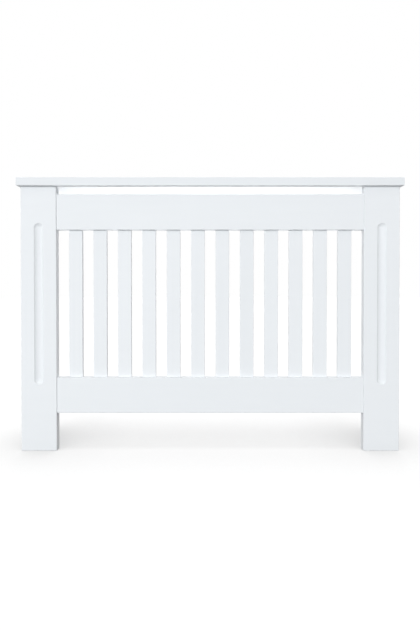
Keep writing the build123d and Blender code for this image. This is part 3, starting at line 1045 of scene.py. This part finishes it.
def make_floor():
    """A white floor with the object's shadow: part of its brightness follows the lights and takes
    their shadows, and a painted shade darkens all of it where something stands close by. Other
    rays see a grey floor."""
    solid = bmesh.new()
    outline = arc((0.0, 0.0), FLOOR_RADIUS, 0.0, math.tau, FLOOR_SIDES)[:-1]
    solid.faces.new([solid.verts.new((x, y, 0.0)) for x, y in outline])
    floor = as_object("floor", solid)
    material, nodes = new_finish("floor_white")
    seen = seen_white(nodes)
    # Painted shade: ambient occlusion darkens the floor's colour and glow near the object
    room = nodes.add("ShaderNodeAmbientOcclusion", {"Distance": NEAR, "Normal": NEAR_SIDE},
                     "AO", samples=12)
    painted_near_shade = (1 - room) * NEAR_SHARE
    colour = nodes.mix(seen, FLOOR_GREY, FLOOR_WHITE)
    colour = nodes.mix(painted_near_shade, colour, (0.0, 0.0, 0.0))
    lit = nodes.add("ShaderNodeBsdfDiffuse", {"Color": colour})
    glow = nodes.add("ShaderNodeEmission", {
        "Color": (1, 1, 1, 1), "Strength": FLOOR_GLOW - painted_near_shade * FLOOR_GLOW})
    shader = nodes.add("ShaderNodeMixShader", {0: seen * GLOW_SHARE, 1: lit, 2: glow})
    nodes.add("ShaderNodeOutputMaterial", {"Surface": shader})
    floor.data.materials.append(material)
    return floor


def make_world():
    """White behind the object for what the camera and gloss see, grey light elsewhere."""
    world = bpy.data.worlds.new("studio")
    world.use_nodes = True
    world.node_tree.nodes.clear()
    nodes = Nodes(world.node_tree)
    level = WORLD_GREY + seen_white(nodes) * (1 - WORLD_GREY)
    light = nodes.add("ShaderNodeBackground", {"Color": (1, 1, 1, 1), "Strength": level})
    nodes.add("ShaderNodeOutputWorld", {"Surface": light})
    bpy.context.scene.world = world


def make_lamp(light, aim):
    """Puts a light in the scene, shining the way that aim points."""
    lamp = bpy.data.objects.new(light.name, light)
    bpy.context.scene.collection.objects.link(lamp)
    lamp.rotation_euler = aim.to_track_quat("-Z", "Y").to_euler()
    return lamp


def make_light(name, place, target, size, power, spread=180):
    """A soft rectangular light that the camera doesn't see."""
    light = bpy.data.lights.new(name, "AREA")
    light.shape = "RECTANGLE"
    light.size, light.size_y = size
    light.energy = power
    light.spread = math.radians(spread)
    lamp = make_lamp(light, Vector(target) - Vector(place))
    lamp.location = place
    lamp.visible_camera = False
    return lamp


def make_sun(name, side, strength, spread):
    """A soft distant light, shining from a side."""
    light = bpy.data.lights.new(name, "SUN")
    light.energy = strength
    light.angle = math.radians(spread)
    return make_lamp(light, -Vector(side))


def link_light(lamp, thing, state):
    """Makes a light leave one thing out, or light that thing alone."""
    linked = bpy.data.collections.new(f"{lamp.name}_link")
    linked.objects.link(thing)
    lamp.light_linking.receiver_collection = linked
    linked.collection_objects[0].light_linking.link_state = state


def make_camera():
    camera = bpy.data.cameras.new("camera")
    camera.lens = CAMERA_LENS
    camera.sensor_width = CAMERA_SENSOR
    camera.shift_x, camera.shift_y = CAMERA_SHIFT
    camera.clip_start = 0.01
    holder = bpy.data.objects.new("camera", camera)
    bpy.context.scene.collection.objects.link(holder)
    holder.location = CAMERA_PLACE
    holder.rotation_euler = (math.radians(90 - CAMERA_TILT), 0.0, 0.0)
    bpy.context.scene.camera = holder


floor = make_floor()
make_world()

# The two that light the object, one from the front left and one from behind
key = make_light("key", place=(-3.9, -11.0, 1.55), target=(0.0, 0.0, 0.4), size=(5.0, 5.0),
                 power=1075.0)
key.visible_glossy = False
key.data.color = KEY_COLOUR
link_light(key, floor, "EXCLUDE")
rear = make_sun("rear", side=(0.0, 1.0, 0.12), strength=1.6, spread=150)
link_light(rear, floor, "EXCLUDE")

# Those for one thing each: the floor's shadow, the white slot under the shelf, the top rail's
# underside between the slats, and the shelf's lower edge
overhead = make_sun("overhead", side=(-0.04, -0.065, 1.0), strength=1.2, spread=20)
link_light(overhead, floor, "INCLUDE")
slot_light = make_light("slot_light", place=(0.0, wall - 0.005, underside - 0.211),
                        target=(0.0, -0.04, underside), size=(2 * side_inside - 0.008, 0.04),
                        power=1.9)
link_light(slot_light, shelf, "INCLUDE")
between_legs = 2 * leg_low.x - 0.016
rail_light = make_light("rail_light", place=(0.0, leg_back + 0.015, top_rail_low.z - 0.2455),
                        target=(0.0, leg_back - 0.005, top_rail_low.z),
                        size=(between_legs, 0.03), power=0.053, spread=12)
link_light(rail_light, top_rail, "INCLUDE")
edge_light = make_light("edge_light", place=(0.0, shelf_low.y - 0.0025, underside - 0.071),
                        target=(0.0, shelf_low.y, underside), size=(between_legs, 0.004),
                        power=0.0055, spread=8)
link_light(edge_light, shelf, "INCLUDE")

make_camera()
bpy.context.scene.view_settings.view_transform = "Standard"
